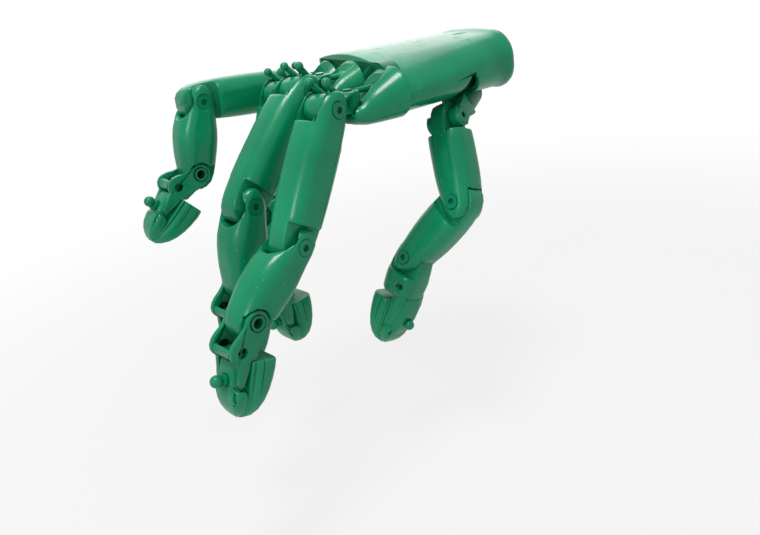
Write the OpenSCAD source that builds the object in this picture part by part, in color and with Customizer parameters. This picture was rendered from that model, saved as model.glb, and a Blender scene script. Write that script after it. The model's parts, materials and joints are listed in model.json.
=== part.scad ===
// Five finger robot hand, right hand, held by its wrist flange.
// Millimetres. The wrist face is at x = 0 and the fingers point to -X.
// The back of the hand is +Z and the thumb is on the -Y side.
// Every finger has a strut in the palm, a knuckle, a proximal link, a middle link and a tip.

/* [Palm] */
// Distance from the wrist face to the finger end of the palm shell.
palm_length = 59; // [54:1:62]
// Half width of the palm shell at the wrist face.
wrist_half = 26; // [24:0.5:30]
// Half width of the palm shell on the thumb side, at its finger end.
thumb_edge = 37.5; // [36:0.5:42]
// Half width of the palm shell on the little finger side, at its finger end.
little_edge = 47; // [46:0.5:48]
// Thickness of the palm shell, back to front.
palm_thick = 21; // [20:0.5:24]
// Height of the middle of the palm above the knuckle axes.
palm_lift = 2; // [1:0.25:3]
// Wall of the palm shell.
shell_wall = 2.2; // [1.6:0.1:2.6]
// Thickness of the wrist flange.
flange_thick = 5; // [4:0.5:7]
// Bore through the wrist flange for the tendons.
wrist_bore = 11; // [8:0.5:12]
// Diameter of each wrist bolt hole.
bolt_hole = 3.4; // [2.6:0.1:3.6]
// Spacing of the wrist bolt holes along the width of the wrist.
bolt_span = 30; // [24:1:32]
// Spacing of the wrist bolt holes from back to front.
bolt_rise = 10; // [8:0.5:11]

/* [Fingers] */
// Width of every finger link, side to side.
finger_width = 15; // [14.4:0.2:16]
// Thickness of every finger link at its fullest, back to front.
finger_thick = 15.6; // [14.8:0.2:16.4]
// Knuckle axis to the first finger joint.
proximal_len = 44; // [40:0.5:50]
// First finger joint to the last finger joint.
middle_len = 27; // [25:0.5:32]
// Last finger joint to the finger tip.
tip_len = 31; // [30:0.5:34]
// Side swing pin to the knuckle axis.
knuckle_len = 11; // [11:0.5:13]
// Half width of the tongue inside each finger fork.
tongue_half = 4.1; // [3.8:0.1:4.3]
// Radius of the rounded fork cheeks.
cheek_r = 6.1; // [5.6:0.1:6.3]
// Thickness of each tip bracket cheek.
bracket_wall = 1.8; // [1.4:0.1:2]

/* [Pins] */
// Diameter of the joint pins.
pin_d = 3; // [2.4:0.1:3.2]
// Diameter of the pin heads.
head_d = 5.2; // [4.6:0.1:5.6]
// Depth of the pin heads.
head_deep = 1.4; // [1:0.1:1.6]
// Size of the hexagon socket across its corners.
socket_d = 2.5; // [2:0.1:3]
// Bore through the bush of the last finger joint.
bush_bore = 3.4; // [2.6:0.1:3.6]
// Outside diameter of the bush of the last finger joint.
bush_d = 4.8; // [4.6:0.1:5.2]

/* [Fits] */
// Gap beside a turning tongue, each side.
side_gap = 0.3; // [0.3:0.05:0.5]
// Gap around a turning pin.
turn_gap = 0.05; // [0.03:0.01:0.09]
// Gap around a swinging rounded end.
swing_gap = 0.5; // [0.4:0.1:0.8]

/* [Knuckle places] */
// Wrist face to the index knuckle axis.
index_out = 83.4; // [80:0.2:90]
// Centre line to the index knuckle.
index_side = 35; // [33:0.2:38]
// Wrist face to the middle finger knuckle axis.
long_out = 82.8; // [80:0.2:90]
// Centre line to the middle finger knuckle.
long_side = 11.2; // [10:0.2:12]
// Height of the middle finger knuckle above the index knuckle.
long_lift = 4; // [2:0.1:5]
// Wrist face to the ring knuckle axis.
ring_out = 82.1; // [80:0.2:88]
// Centre line to the ring knuckle.
ring_side = 11.6; // [10:0.2:14]
// Height of the ring knuckle above the index knuckle.
ring_lift = 1; // [0:0.1:3]
// Wrist face to the little finger knuckle axis.
little_out = 68; // [66:0.2:74]
// Centre line to the little finger knuckle.
little_side = 34.5; // [33:0.2:38]

/* [Pose] */
// Side swing of the fingers toward the thumb, index to little.
finger_swing = [19, 19, 19, 12]; // [0:1:20]
// Bend of the knuckles, index to little.
knuckle_bend = [59, 45, 69, -4]; // [-10:1:80]
// Bend of the first finger joints, index to little.
middle_bend = [-22, 29, 15, 78]; // [-22:1:90]
// Bend of the last finger joints, index to little.
tip_bend = [32, 0, 11, -33]; // [-33:1:60]

/* [Thumb] */
// Wrist face to the thumb root joint.
thumb_out = 32.4; // [30:0.2:36]
// Centre line to the thumb root joint.
thumb_side = 25.2; // [24:0.2:28]
// Depth of the thumb root joint below the knuckle axes.
thumb_drop = 15.6; // [15:0.2:18]
// Thumb root joint to the thumb middle joint.
thumb_len = 31; // [30:0.2:36]
// Thumb middle joint to the thumb last joint.
thumb_mid_len = 30; // [28:0.2:34]
// Bend of the thumb middle joint.
thumb_mid_bend = 60.7; // [20:0.1:64]
// Backward bend of the thumb last joint.
thumb_tip_back = 22.6; // [0:0.1:24]

/* [Hidden] */
$fn = 48;
eps = 0.01;
pin_r = pin_d / 2;
head_r = head_d / 2;
half_w = finger_width / 2;
half_t = finger_thick / 2;
fork_in = tongue_half + side_gap;
dome_r = cheek_r + 0.7;
half_palm = palm_thick / 2;
flat_drop = 0.06;
seat_z = shell_wall - half_palm + flat_drop;
fork_step = 9;
strut_r = [half_palm - 0.6, half_palm - 0.6, half_palm - 0.6, half_palm - 2.1];
strut_tip = 7.4;
strut_thin = 5.6;
ear_r = 5.2;
knuckle_r = 5;
knuckle_half = 3.7;
spigot_r = 4;
spigot_len = 6;
plate_thick = 6;
rail_in = 6.5;
rail_out = 11;
little_back = 13;
little_split = 25.5;
guide_r = 1.25;
guide_side = 2.7;
guide_foot = 5.6;
guide_tilt = 42;
guide_len = 9.6;
link_hole = 3.2;
boss_r = bush_d / 2 + 1.5;
bracket_out = fork_in + bracket_wall;
core_start = 11.6;
tip_deep = 8.8;
tip_half = 7.2;
knob_out = 18.6;
knob_r = 1.4;
thumb_lean = 50;
thumb_shift = 7;
root_ear_r = 4.4;
root_half = 2.9;
root_plate = 3.3;
socket_r = 6.2;
socket_near = 11;
socket_far = 23;
spindle_r = 3.4;
collar_near = 8;
screw_r = 1.2;
screw_head_r = 2.2;
screw_head = 1.6;
screw_len = 4;
thumb_turn = [-43.5, -60.5, 68.4];
green = [0.02, 0.5, 0.33];
dark = [0.01, 0.36, 0.24];
pale = [0.1, 0.55, 0.38];

finger_out = [index_out, long_out, ring_out, little_out];
finger_side = [-index_side, -long_side, ring_side, little_side];
finger_lift = [-palm_lift, long_lift - palm_lift, ring_lift - palm_lift, -palm_lift];
strut_lean = [12, 8, 8, -12];
strut_end = [palm_length, palm_length, palm_length, palm_length - little_back];

// Turns a length into a rod across the finger.
module rod_y(r, half) {
    rotate([90, 0, 0]) cylinder(r = r, h = 2 * half, center = true);
}

// Side outline, drawn as x and z, made into a block across the finger.
module across(half) {
    rotate([90, 0, 0]) linear_extrude(height = 2 * half, center = true) children();
}

// Round body along the finger that is fullest half way between its ends.
module barrel(x_near, x_far, r_mid, r_end) {
    half = (x_near - x_far) / 2;
    sag = r_mid - r_end;
    big = (half * half + sag * sag) / 2 / sag;
    translate([(x_near + x_far) / 2, 0, 0]) rotate([0, -90, 0]) rotate_extrude() {
        intersection() {
            translate([r_mid - big, 0]) circle(r = big);
            translate([0, -half]) square([r_mid, 2 * half]);
        }
    }
}

// Link body: a full barrel with flats on its sides, back and front.
module link_body(x_near, x_far) {
    intersection() {
        barrel(x_near, x_far, half_t + 0.5, half_t - 0.45);
        translate([x_far - 1, -half_w, -half_t]) cube([x_near - x_far + 2, finger_width, finger_thick]);
    }
}

// Joint pin across the finger, a head at each end, each with a socket.
module cross_pin(half) {
    difference() {
        union() {
            rod_y(pin_r, half - head_deep);
            for (side = [-1, 1]) {
                translate([0, side * (half - head_deep / 2), 0]) rod_y(head_r, head_deep / 2);
            }
        }
        for (side = [-1, 1]) {
            translate([0, side * half, 0]) rotate([90, 0, 0]) {
                cylinder(d = socket_d, h = 2 * (head_deep - 0.3), center = true, $fn = 6);
            }
        }
    }
}

// Bore and seats that a joint pin leaves in the fork that carries it.
module cross_pin_seat(half) {
    rod_y(pin_r, half + 1);
    for (side = [-1, 1]) {
        translate([0, side * (half - head_deep / 2 + 0.5), 0]) rod_y(head_r, head_deep / 2 + 0.5);
    }
}

// Places of the joints of finger f, from the knuckle outward.
module at_knuckle(f) {
    translate([-finger_out[f], finger_side[f], finger_lift[f]]) rotate([0, 0, finger_swing[f]]) children();
}

module at_swing(f) {
    swing = finger_swing[f];
    reach = [knuckle_len * cos(swing), knuckle_len * sin(swing), 0];
    translate([-finger_out[f], finger_side[f], finger_lift[f]] + reach) children();
}

module at_proximal(f) {
    at_knuckle(f) rotate([0, -knuckle_bend[f], 0]) children();
}

module at_middle(f) {
    at_proximal(f) translate([-proximal_len, 0, 0]) rotate([0, -middle_bend[f], 0]) children();
}

module at_tip(f) {
    at_middle(f) translate([-middle_len, 0, 0]) rotate([0, -tip_bend[f], 0]) children();
}

// Knuckle: barrel for the knuckle pin, tongue for the swing pin, and two ball ended guides on its back.
module knuckle() {
    difference() {
        union() {
            rod_y(knuckle_r, tongue_half);
            translate([0, -tongue_half, -knuckle_half]) {
                cube([knuckle_len, 2 * tongue_half, 2 * knuckle_half]);
            }
            translate([knuckle_len, 0, -knuckle_half]) cylinder(r = tongue_half, h = 2 * knuckle_half);
            for (side = [-1, 1]) {
                translate([guide_foot, side * guide_side, 1]) rotate([0, -guide_tilt, 0]) {
                    cylinder(r = guide_r, h = guide_len);
                    translate([0, 0, guide_len]) sphere(r = guide_r + 0.6);
                }
            }
        }
        rod_y(pin_r + turn_gap, half_w);
        translate([knuckle_len, 0, -half_palm]) cylinder(r = pin_r + turn_gap, h = palm_thick);
    }
}

// Proximal link: fork over the knuckle, full body, tongue with a rounded end at the first finger joint.
module proximal_link() {
    difference() {
        union() {
            link_body(-fork_step + 1.2, -proximal_len + cheek_r + swing_gap);
            rod_y(cheek_r, half_w);
            across(half_w) polygon([
                [0, cheek_r], [-fork_step, half_t - 0.5], [-fork_step, 0.5 - half_t], [0, -cheek_r]
            ]);
            translate([-proximal_len, 0, 0]) rod_y(dome_r, tongue_half);
            across(tongue_half) polygon([
                [-proximal_len, dome_r], [-proximal_len + 10, half_t - 0.3],
                [-proximal_len + 10, 0.3 - half_t], [-proximal_len, -dome_r]
            ]);
        }
        rod_y(knuckle_r + swing_gap, fork_in);
        across(fork_in) polygon([
            [-2, 0], [-5.6, 4.4], [-5.6, half_palm], [fork_step, half_palm],
            [fork_step, -half_palm], [-knuckle_half - 0.8, -half_palm], [-knuckle_half - 0.8, 0]
        ]);
        for (side = [-1, 1]) {
            translate([-proximal_len, side * (fork_in + half_w) / 2, 0]) {
                rod_y(cheek_r + swing_gap, (half_w - fork_in) / 2 + side_gap + eps);
            }
        }
        across(half_w + 1) polygon([[-2.7, -5.4], [-9.6, -5.4], [-14, -half_t - 1], [-2.7, -half_t - 1]]);
        cross_pin_seat(half_w);
        translate([-proximal_len, 0, 0]) rod_y(pin_r + turn_gap, half_w + 1);
    }
}

// Middle link: fork over the first finger joint, cut away on its back, and a tongue at the last finger joint.
module middle_link() {
    difference() {
        union() {
            intersection() {
                link_body(0, -middle_len + boss_r + swing_gap);
                across(half_w + 1) polygon([
                    [-4, 5.5], [-fork_step - 2, half_t + 1], [-middle_len, half_t + 1],
                    [-middle_len, -half_t - 1], [-fork_step + 1, -half_t - 1], [-3, -5.5]
                ]);
            }
            rod_y(cheek_r, half_w);
            across(half_w) polygon([
                [0, cheek_r], [-fork_step, half_t - 1.6], [-fork_step, 1.6 - half_t], [0, -cheek_r]
            ]);
            translate([-middle_len, 0, 0]) rod_y(cheek_r, tongue_half);
            across(tongue_half) polygon([
                [-middle_len, cheek_r], [-middle_len + 9, half_t - 0.4],
                [-middle_len + 9, 0.4 - half_t], [-middle_len, -cheek_r]
            ]);
        }
        rod_y(dome_r + swing_gap, fork_in);
        across(fork_in) polygon([
            [-4.4, 0], [-4.4, half_palm], [dome_r, half_palm],
            [dome_r, -half_palm], [-dome_r - 1.7, -half_palm], [-dome_r - 0.4, 0]
        ]);
        cross_pin_seat(half_w);
        translate([-middle_len, 0, 0]) rod_y(bush_d / 2 + turn_gap, half_w);
    }
}

// Side outline of a tip bracket cheek.
module bracket_outline() {
    circle(r = boss_r);
    polygon([
        [0, boss_r], [-5.5, 7.7], [-8.6, 8.7], [-12.2, 7], [-12.8, 5.6], [-19.5, 4.6],
        [-19.8, 2.6], [-14, 1.2], [-11.5, 1.1], [-11.4, -0.8], [-9.6, -1.2], [-5, -3.2], [0, -boss_r]
    ]);
}

// Tip bracket: two cheeks on the last finger joint, joined by a web, whose rails hold the tip core.
module tip_bracket() {
    difference() {
        union() {
            for (side = [-1, 1]) {
                translate([0, side * (fork_in + bracket_wall / 2), 0]) {
                    across(bracket_wall / 2) bracket_outline();
                }
            }
            translate([-core_start, -fork_in - eps, -0.4]) cube([3.4, 2 * fork_in + 2 * eps, 7.2]);
        }
        rod_y(bush_d / 2, half_w);
        translate([-8.8, 0, 4.3]) rod_y(link_hole / 2, half_w);
    }
}

// Bush of the last finger joint, open from side to side.
module tip_bush() {
    difference() {
        rod_y(bush_d / 2, bracket_out + 0.2);
        rod_y(bush_bore / 2, half_w);
    }
}

// Outline of a finger tip seen from its back.
module tip_plan(half) {
    translate([half - tip_len, 0]) circle(r = half);
    translate([half - tip_len, -half]) square([tip_len - half - core_start, 2 * half]);
}

// Side outline of the whole finger tip, its front curving up to the tip.
module tip_side() {
    intersection() {
        translate([-14 , 20 - tip_deep]) circle(r = 20);
        translate([-tip_len, -tip_deep]) square([tip_len - core_start, 2 * tip_deep]);
    }
}

// Tip core: a base plate under the rails, a block between them and a nail over the end of the finger.
module tip_core() {
    difference() {
        intersection() {
            union() {
                translate([0, 0, -0.6]) linear_extrude(height = 1.6) tip_plan(tip_half - 0.4);
                translate([-tip_len, -fork_in, 0]) cube([tip_len - core_start, 2 * fork_in, 6]);
                translate([-tip_len, -tip_half, 0]) cube([tip_len - 21, 2 * tip_half, 5.6]);
            }
            translate([0, 0, -1]) linear_extrude(height = 9) tip_plan(tip_half - 0.4);
            across(half_w) tip_side();
            translate([0, 0, -2]) rotate([0, -90, 0]) {
                cylinder(r = tip_half + 1.2, h = 2 * tip_len, center = true);
            }
        }
        translate([-knob_out, 0, 2]) cylinder(r = knob_r, h = 8);
        translate([-21.4, -half_w, 3.6]) cube([1.1, finger_width, 5]);
    }
}

// Tip pad: the soft front of the finger tip, square at its root and round at its end.
module tip_pad() {
    intersection() {
        translate([0, 0, -tip_deep - 1]) linear_extrude(height = tip_deep + 0.4) tip_plan(tip_half);
        across(half_w) tip_side();
        translate([0, 0, 0.6]) rotate([0, -90, 0]) {
            cylinder(r = tip_deep + 0.7, h = 2 * tip_len, center = true);
        }
    }
}

// Knob: the round headed screw on the back of a finger tip.
module tip_knob() {
    translate([-knob_out, 0, 2]) cylinder(r = knob_r, h = 5.2);
    translate([-knob_out, 0, 6]) cylinder(r = knob_r + 0.8, h = 1);
    translate([-knob_out, 0, 8.6]) sphere(r = knob_r + 0.6);
}

// Rounded long edge of the palm, from the wrist to the finger end.
module palm_edge(y_wrist, y_finger, r) {
    translate([0, y_wrist, 0]) rotate([0, 0, atan((y_wrist - y_finger) / palm_length)]) {
        rotate([0, -90, 0]) cylinder(r = r, h = 4 * palm_length, center = true);
    }
}

// Palm body, taken in all round by a wall's thickness.
module palm_form(inset) {
    r = half_palm - inset;
    wrist_y = wrist_half - half_palm;
    thumb_y = thumb_edge - half_palm;
    little_y = little_edge - half_palm;
    intersection() {
        difference() {
            union() {
                palm_edge(-wrist_y, -thumb_y, r);
                palm_edge(wrist_y, little_y, r);
                translate([0, 0, flat_drop - r]) linear_extrude(height = 2 * (r - flat_drop)) polygon([
                    [1, -wrist_y], [1, wrist_y], [-palm_length - 1, little_y], [-palm_length - 1, -thumb_y]
                ]);
            }
            translate([-3 * palm_length + little_back, little_split - inset, -palm_thick]) {
                cube([2 * palm_length, 2 * palm_length, 2 * palm_thick]);
            }
        }
        translate([-palm_length, -palm_length, -palm_thick]) {
            cube([palm_length, 2 * palm_length, 2 * palm_thick]);
        }
    }
}

// Swivel line of the thumb root: children lie along -X toward the thumb.
module at_thumb_root() {
    translate([-thumb_out, -thumb_side, -thumb_drop - palm_lift]) rotate(thumb_turn) children();
}

module at_thumb_swivel() {
    at_thumb_root() rotate([0, thumb_lean, 0]) children();
}

module at_thumb_middle() {
    at_thumb_root() translate([-thumb_len, 0, 0]) rotate([0, 0, -thumb_mid_bend]) children();
}

module at_thumb_tip() {
    at_thumb_middle() translate([-thumb_mid_len, 0, 0]) rotate([0, 0, thumb_tip_back]) children();
}

// Opening in the thumb side of the palm shell, narrow at its top.
module thumb_opening() {
    translate([0, -30, 0]) across(22) polygon([[-12, -12], [-20, -1], [-22.5, -1], [-37, -12]]);
    at_thumb_swivel() rotate([0, 90, 0]) cylinder(r = socket_r + 0.6, h = socket_far + 3);
}

// Screw with a flat round head, pointing down.
module flat_screw() {
    difference() {
        union() {
            cylinder(r = screw_head_r, h = screw_head);
            translate([0, 0, -screw_len]) cylinder(r = screw_r, h = screw_len);
        }
        translate([0, 0, screw_head - 0.9]) cylinder(d = socket_d, h = 2, $fn = 6);
    }
}

// Places of the palm screws, with their heads let into the front of the shell.
module at_palm_screws() {
    for (y = [-16.5, 6]) {
        translate([3.5 - palm_length, y, seat_z]) rotate([180, 0, 0]) children();
    }
    for (y = [-11.5, 11.5]) {
        translate([-flange_thick / 2, y, seat_z]) rotate([180, 0, 0]) children();
    }
}

module palm_shell() {
    color(green) difference() {
        palm_form(0);
        palm_form(shell_wall);
        thumb_opening();
        at_palm_screws() cylinder(r = screw_head_r, h = 5);
    }
}

// Strut centre lines: children lie along +X into the palm.
module at_strut(f) {
    at_swing(f) rotate([0, 0, strut_lean[f]]) children();
}

module spigot(f, r) {
    at_strut(f) rotate([0, 90, 0]) cylinder(r = r, h = knuckle_len + spigot_len + 8);
}

module palm_frame() {
    color(dark) difference() {
        union() {
            intersection() {
                palm_form(shell_wall);
                union() {
                    translate([-palm_length, -palm_length, -palm_thick]) {
                        cube([plate_thick, 2 * palm_length, 2 * palm_thick]);
                    }
                    translate([little_back - palm_length, little_split - 12, -palm_thick]) {
                        cube([plate_thick, palm_length, 2 * palm_thick]);
                    }
                    translate([-palm_length + eps, little_split - 12, -palm_thick]) {
                        cube([little_back + 2, 5, 2 * palm_thick]);
                    }
                }
            }
            for (y = [-rail_out, rail_in]) {
                translate([plate_thick - palm_length - eps, y, -4]) {
                    cube([palm_length - plate_thick - flange_thick + eps, rail_out - rail_in, 8]);
                }
            }
        }
        for (f = [0:3]) spigot(f, spigot_r);
        at_palm_screws() translate([0, 0, -screw_len]) cylinder(r = screw_r, h = screw_len + 1);
    }
}

module wrist_flange() {
    color(dark) difference() {
        intersection() {
            palm_form(shell_wall);
            translate([-flange_thick, -palm_length, -palm_thick]) {
                cube([flange_thick, 2 * palm_length, 2 * palm_thick]);
            }
        }
        rotate([0, 90, 0]) {
            cylinder(d = wrist_bore, h = 4 * flange_thick, center = true);
        }
        for (y = [-1, 1], z = [-1, 1]) {
            translate([0, y * bolt_span / 2, z * bolt_rise / 2]) rotate([0, 90, 0]) {
                cylinder(d = bolt_hole, h = 4 * flange_thick, center = true);
            }
        }
        at_palm_screws() translate([0, 0, -screw_len]) cylinder(r = screw_r, h = screw_len + 1);
    }
}

module palm_screws() {
    color(pale) at_palm_screws() flat_screw();
}

// Strut: flattened cone on the finger end of the palm, its end open on the back for the knuckle,
// with a spigot into the frame.
module strut(f) {
    reach = finger_out[f] - knuckle_len * cos(finger_swing[f]) - strut_end[f];
    root = reach / cos(strut_lean[f]);
    difference() {
        union() {
            intersection() {
                at_strut(f) intersection() {
                    rotate([0, 90, 0]) translate([0, 0, -7]) {
                        cylinder(r1 = strut_tip, r2 = strut_r[f], h = 10 + root);
                    }
                    across(palm_thick) polygon([
                        [-7, -strut_thin], [-7, strut_thin],
                        [root + 3, strut_r[f] + 0.3], [root + 3, -strut_r[f] - 0.3]
                    ]);
                    linear_extrude(height = palm_thick, center = true) polygon([
                        [-0.4, -10], [-4.1, -2.4], [-4.3, 4.6], [-2.6, 10],
                        [2 * palm_thick, 12], [2 * palm_thick, -12]
                    ]);
                }
                translate([-strut_end[f] - palm_length, -palm_length, -palm_thick]) {
                    cube([palm_length, 2 * palm_length, 2 * palm_thick]);
                }
            }
            intersection() {
                spigot(f, spigot_r);
                at_strut(f) translate([ear_r, -palm_thick, -palm_thick]) {
                    cube([root + spigot_len - ear_r, 2 * palm_thick, 2 * palm_thick]);
                }
            }
        }
        at_strut(f) translate([0, 0, -knuckle_half - side_gap]) linear_extrude(height = palm_thick) {
            polygon([[5.2, -4.6], [0, -4.8], [-8, -7.8], [-8, 5.4], [0, 4.6], [5.2, 4.6]]);
        }
        at_swing(f) cylinder(r = pin_r, h = palm_thick, center = true);
    }
}

module swing_pins() {
    color(pale) for (f = [0:3]) at_swing(f) translate([0, 0, -knuckle_half - 2]) {
        cylinder(r = pin_r, h = 2 * knuckle_half + 2.6);
    }
}

// Thumb socket: tube in the palm for the thumb's swivel, on a block beside a rail of the frame.
module thumb_socket() {
    color(green) difference() {
        union() {
            at_thumb_swivel() translate([socket_near, 0, 0]) rotate([0, 90, 0]) {
                cylinder(r = socket_r, h = socket_far - socket_near);
            }
            intersection() {
                palm_form(shell_wall);
                translate([-27, -rail_out - 10, -half_palm]) cube([12, 10, half_palm + 4]);
            }
        }
        at_thumb_swivel() rotate([0, 90, 0]) cylinder(r = spindle_r + turn_gap, h = socket_far + 10);
        at_thumb_swivel() translate([socket_near - 20, -20, -20]) cube([20, 40, 40]);
    }
}

// Thumb base: spindle in the socket, collar and a fork for the thumb root pin.
module thumb_base() {
    color(green) difference() {
        union() {
            at_thumb_swivel() rotate([0, 90, 0]) {
                translate([0, 0, collar_near]) {
                    cylinder(r = socket_r - 0.4, h = socket_near - side_gap - collar_near);
                }
                translate([0, 0, collar_near]) cylinder(r = spindle_r, h = socket_far - collar_near - 1);
            }
            at_thumb_swivel() intersection() {
                translate([-eps, 0.4 - half_w, -root_plate]) {
                    cube([collar_near + 1, finger_width - 0.8, 2 * root_plate]);
                }
                translate([0, 0, 0]) rotate([0, 90, 0]) cylinder(r = half_w + 1, h = 60, center = true);
            }
            at_thumb_root() rod_y(root_ear_r, half_w);
        }
        at_thumb_root() rod_y(dome_r + swing_gap + 0.3, root_half + side_gap);
        at_thumb_root() cross_pin_seat(half_w);
    }
}

module thumb_root_pin() {
    color(pale) at_thumb_root() cross_pin(half_w);
}

// Thumb proximal link: tongue at the root joint and a fork, turned a quarter, at the middle joint.
module thumb_proximal() {
    color(green) at_thumb_root() difference() {
        union() {
            intersection() {
                link_body(-1, -thumb_len + fork_step - 2);
                across(half_w + 1) polygon([
                    [-5, 7], [-8, 9], [-thumb_len, 9], [-thumb_len, -9], [-8, -9], [-5, -7]
                ]);
            }
            rod_y(dome_r, root_half);
            across(root_half) polygon([[0, dome_r], [-10, half_t - 0.5], [-10, 0.5 - half_t], [0, -dome_r]]);
            turned_fork_end(-thumb_len);
        }
        for (side = [-1, 1]) {
            translate([0, side * (root_half + half_w + 1) / 2, 0]) {
                rod_y(root_ear_r + swing_gap, (half_w + 1 - root_half) / 2);
            }
        }
        translate([-thumb_len - 9, -half_w - 1, -fork_in]) {
            cube([9 + dome_r + swing_gap, finger_width + 2, 2 * fork_in]);
        }
        translate([-thumb_len, 0, 0]) rotate([90, 0, 0]) cross_pin_seat(half_w);
        rod_y(pin_r + turn_gap, half_w);
    }
}

// Rounded cheeks of a fork whose pin stands along Z, its joint at x.
module turned_fork_end(x) {
    translate([x, 0, 0]) cylinder(r = cheek_r, h = finger_width, center = true);
    intersection() {
        linear_extrude(height = finger_width, center = true) polygon([
            [x, cheek_r], [x + fork_step, half_w - 0.5], [x + fork_step, 0.5 - half_w], [x, -cheek_r]
        ]);
        rotate([0, 90, 0]) cylinder(r = half_w + 1.1, h = 4 * thumb_len, center = true);
    }
}

// Tongue for such a fork.
module turned_tongue(x, r) {
    translate([x, 0, 0]) cylinder(r = r, h = 2 * tongue_half, center = true);
}

module thumb_mid_pin() {
    color(pale) at_thumb_root() translate([-thumb_len, 0, 0]) rotate([90, 0, 0]) cross_pin(half_w);
}

module thumb_middle() {
    color(green) at_thumb_middle() difference() {
        union() {
            link_body(-cheek_r - swing_gap, -thumb_mid_len + fork_step - 2);
            turned_tongue(0, dome_r);
            linear_extrude(height = 2 * tongue_half, center = true) {
                polygon([[0, dome_r], [-9, half_w - 0.3], [-9, 0.3 - half_w], [0, -dome_r]]);
            }
            turned_fork_end(-thumb_mid_len);
        }
        translate([-thumb_mid_len - 9, -half_w - 1, -fork_in]) {
            cube([9 + dome_r + swing_gap, finger_width + 2, 2 * fork_in]);
        }
        translate([-thumb_mid_len, 0, 0]) rotate([90, 0, 0]) cross_pin_seat(half_w);
        cylinder(r = pin_r + turn_gap, h = finger_width, center = true);
    }
}

module thumb_tip_pin() {
    color(pale) at_thumb_middle() translate([-thumb_mid_len, 0, 0]) rotate([90, 0, 0]) cross_pin(half_w);
}

// Thumb barrel: tongue at the last joint, a short round body and two rails that hold the tip core.
module thumb_barrel() {
    color(green) at_thumb_tip() difference() {
        union() {
            turned_tongue(0, dome_r);
            linear_extrude(height = 2 * tongue_half, center = true) {
                polygon([[0, dome_r], [-9, half_w - 0.4], [-9, 0.4 - half_w], [0, -dome_r]]);
            }
            intersection() {
                barrel(-cheek_r - swing_gap, -thumb_shift - 8, half_w, half_w - 0.7);
                translate([-40, -half_w, -half_w]) cube([40, finger_width, finger_width]);
            }
            rotate([90, 0, 0]) translate([-thumb_shift, 0, 0]) intersection() {
                across(bracket_out) polygon([
                    [-7.5, 6.4], [-12, 6.8], [-19.5, 4.6], [-19.8, 2.6], [-14, 1.2], [-7.5, 1.2]
                ]);
                translate([-20, -bracket_out, 0]) cube([13, 2 * bracket_out, 8]);
            }
        }
        rotate([90, 0, 0]) translate([-thumb_shift - tip_len, -fork_in, -1]) {
            cube([tip_len - core_start, 2 * fork_in, 12]);
        }
        cylinder(r = pin_r + turn_gap, h = finger_width, center = true);
    }
}

module index_strut() {
    color(green) strut(0);
}

module index_knuckle() {
    color(green) at_knuckle(0) knuckle();
}

module index_proximal() {
    color(green) at_proximal(0) proximal_link();
}

module index_knuckle_pin() {
    color(pale) at_proximal(0) cross_pin(half_w);
}

module index_middle() {
    color(green) at_middle(0) middle_link();
}

module index_middle_pin() {
    color(pale) at_middle(0) cross_pin(half_w);
}

module index_bracket() {
    color(dark) at_tip(0) tip_bracket();
}

module index_core() {
    color(green) at_tip(0) tip_core();
}

module index_pad() {
    color(green) at_tip(0) tip_pad();
}

module index_bush() {
    color(pale) at_tip(0) tip_bush();
}

module index_knob() {
    color(green) at_tip(0) tip_knob();
}

module long_strut() {
    color(green) strut(1);
}

module long_knuckle() {
    color(green) at_knuckle(1) knuckle();
}

module long_proximal() {
    color(green) at_proximal(1) proximal_link();
}

module long_knuckle_pin() {
    color(pale) at_proximal(1) cross_pin(half_w);
}

module long_middle() {
    color(green) at_middle(1) middle_link();
}

module long_middle_pin() {
    color(pale) at_middle(1) cross_pin(half_w);
}

module long_bracket() {
    color(dark) at_tip(1) tip_bracket();
}

module long_core() {
    color(green) at_tip(1) tip_core();
}

module long_pad() {
    color(green) at_tip(1) tip_pad();
}

module long_bush() {
    color(pale) at_tip(1) tip_bush();
}

module long_knob() {
    color(green) at_tip(1) tip_knob();
}

module ring_strut() {
    color(green) strut(2);
}

module ring_knuckle() {
    color(green) at_knuckle(2) knuckle();
}

module ring_proximal() {
    color(green) at_proximal(2) proximal_link();
}

module ring_knuckle_pin() {
    color(pale) at_proximal(2) cross_pin(half_w);
}

module ring_middle() {
    color(green) at_middle(2) middle_link();
}

module ring_middle_pin() {
    color(pale) at_middle(2) cross_pin(half_w);
}

module ring_bracket() {
    color(dark) at_tip(2) tip_bracket();
}

module ring_core() {
    color(green) at_tip(2) tip_core();
}

module ring_pad() {
    color(green) at_tip(2) tip_pad();
}

module ring_bush() {
    color(pale) at_tip(2) tip_bush();
}

module ring_knob() {
    color(green) at_tip(2) tip_knob();
}

module little_strut() {
    color(green) strut(3);
}

module little_knuckle() {
    color(green) at_knuckle(3) knuckle();
}

module little_proximal() {
    color(green) at_proximal(3) proximal_link();
}

module little_knuckle_pin() {
    color(pale) at_proximal(3) cross_pin(half_w);
}

module little_middle() {
    color(green) at_middle(3) middle_link();
}

module little_middle_pin() {
    color(pale) at_middle(3) cross_pin(half_w);
}

module little_bracket() {
    color(dark) at_tip(3) tip_bracket();
}

module little_core() {
    color(green) at_tip(3) tip_core();
}

module little_pad() {
    color(green) at_tip(3) tip_pad();
}

module little_bush() {
    color(pale) at_tip(3) tip_bush();
}

module little_knob() {
    color(green) at_tip(3) tip_knob();
}

module at_thumb_core() {
    at_thumb_tip() rotate([90, 0, 0]) translate([-thumb_shift, 0, 0]) children();
}

module thumb_core() {
    color(green) at_thumb_core() tip_core();
}

module thumb_pad() {
    color(green) at_thumb_core() tip_pad();
}

module thumb_knob() {
    color(green) at_thumb_core() tip_knob();
}

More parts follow.
